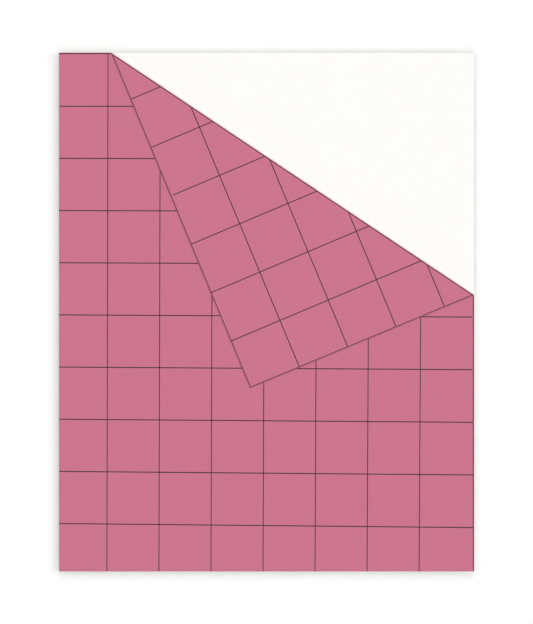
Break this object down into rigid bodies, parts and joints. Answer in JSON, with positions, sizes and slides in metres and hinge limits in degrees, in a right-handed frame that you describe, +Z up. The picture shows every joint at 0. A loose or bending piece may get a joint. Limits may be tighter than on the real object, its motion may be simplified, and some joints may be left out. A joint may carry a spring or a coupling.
{
  "type": "scoring board",
  "caption": "Flat paper-wrapped craft board faced with a pink card ruled in a one-inch grid; a corner of the card folds back over a diagonal crease.",
  "frame": {"origin": "centre of the footprint, on the surface that the pads stand on", "axes": "+X to the board's right edge, +Y to its top edge, +Z up out of the ruled face"},
  "size_m": [0.2032, 0.254, 0.0055],
  "materials": {
    "pink_card": "matte uncoated card",
    "ruling_ink": "dry black ink",
    "crease_ink": "dry dark red ink",
    "wrap_paper": "smooth off-white paper",
    "liner_paper": "matte off-white paper",
    "greyboard": "raw recycled greyboard",
    "adhesive_film": "clear adhesive film",
    "pad_rubber": "soft matte rubber"
  },
  "bodies": {
    "board": {"board_core": "greyboard", "board_wrap": "wrap_paper", "back_liner": "liner_paper", "pad_bottom_left": "pad_rubber", "pad_bottom_right": "pad_rubber", "pad_top_left": "pad_rubber", "pad_top_right": "pad_rubber", "mounting_film": "adhesive_film", "ruled_card": "pink_card", "face_lines_across": "ruling_ink", "face_lines_down": "ruling_ink", "face_border": "ruling_ink"},
    "corner": {"folded_corner": "pink_card", "crease_line": "crease_ink", "corner_back_lines_across": "ruling_ink", "corner_back_lines_down": "ruling_ink", "corner_back_outline": "ruling_ink", "corner_face_lines_across": "ruling_ink", "corner_face_lines_down": "ruling_ink", "corner_face_border": "ruling_ink"}
  },
  "joints": [
    {"name": "crease_fold", "type": "hinge", "parent": "board", "child": "corner", "pos_m": [-0.0762, 0.127, 0.00513], "axis": [-0.8317, 0.5552, 0], "range_deg": [0, 180]}
  ]
}
